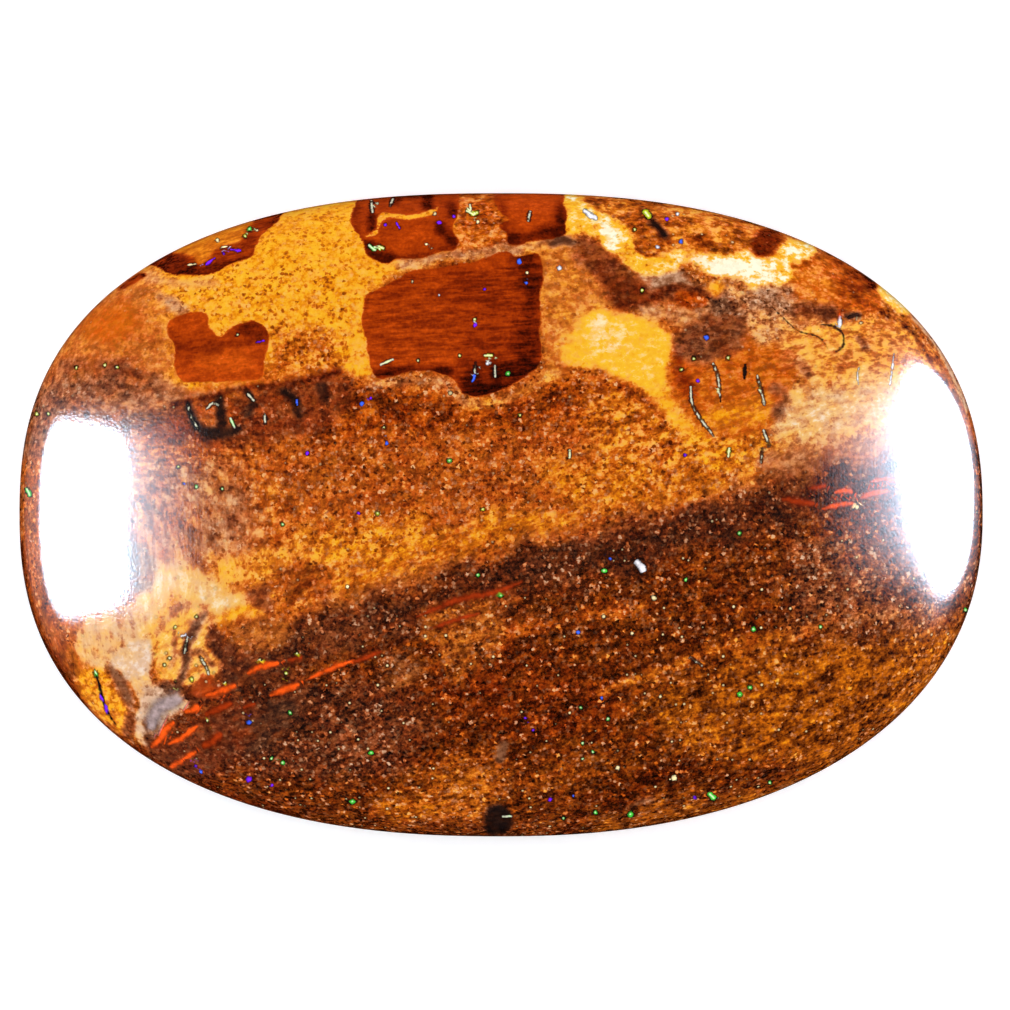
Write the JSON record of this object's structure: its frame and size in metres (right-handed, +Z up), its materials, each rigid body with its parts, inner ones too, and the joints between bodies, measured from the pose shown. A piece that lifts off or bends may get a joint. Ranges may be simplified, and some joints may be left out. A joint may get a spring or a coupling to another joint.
{
  "type": "boulder opal cabochon",
  "caption": "Polished oval cabochon of boulder opal with a low dome, a narrow girdle, a bevelled edge and a flat back; it rests on its back or sits in a bezel.",
  "frame": {"origin": "middle of the flat back face, on the surface that the stone lies on", "axes": "+X along the stone's length, +Y across its width, +Z up through the dome; the picture looks straight down -Z with +X to its right"},
  "size_m": [0.03, 0.02, 0.0056],
  "materials": {
    "polished_boulder_opal": "high polish: orange and brown ironstone matrix with thin precious opal in its cracks"
  },
  "bodies": {
    "root": {"opal_stone": "polished_boulder_opal"}
  },
  "joints": []
}
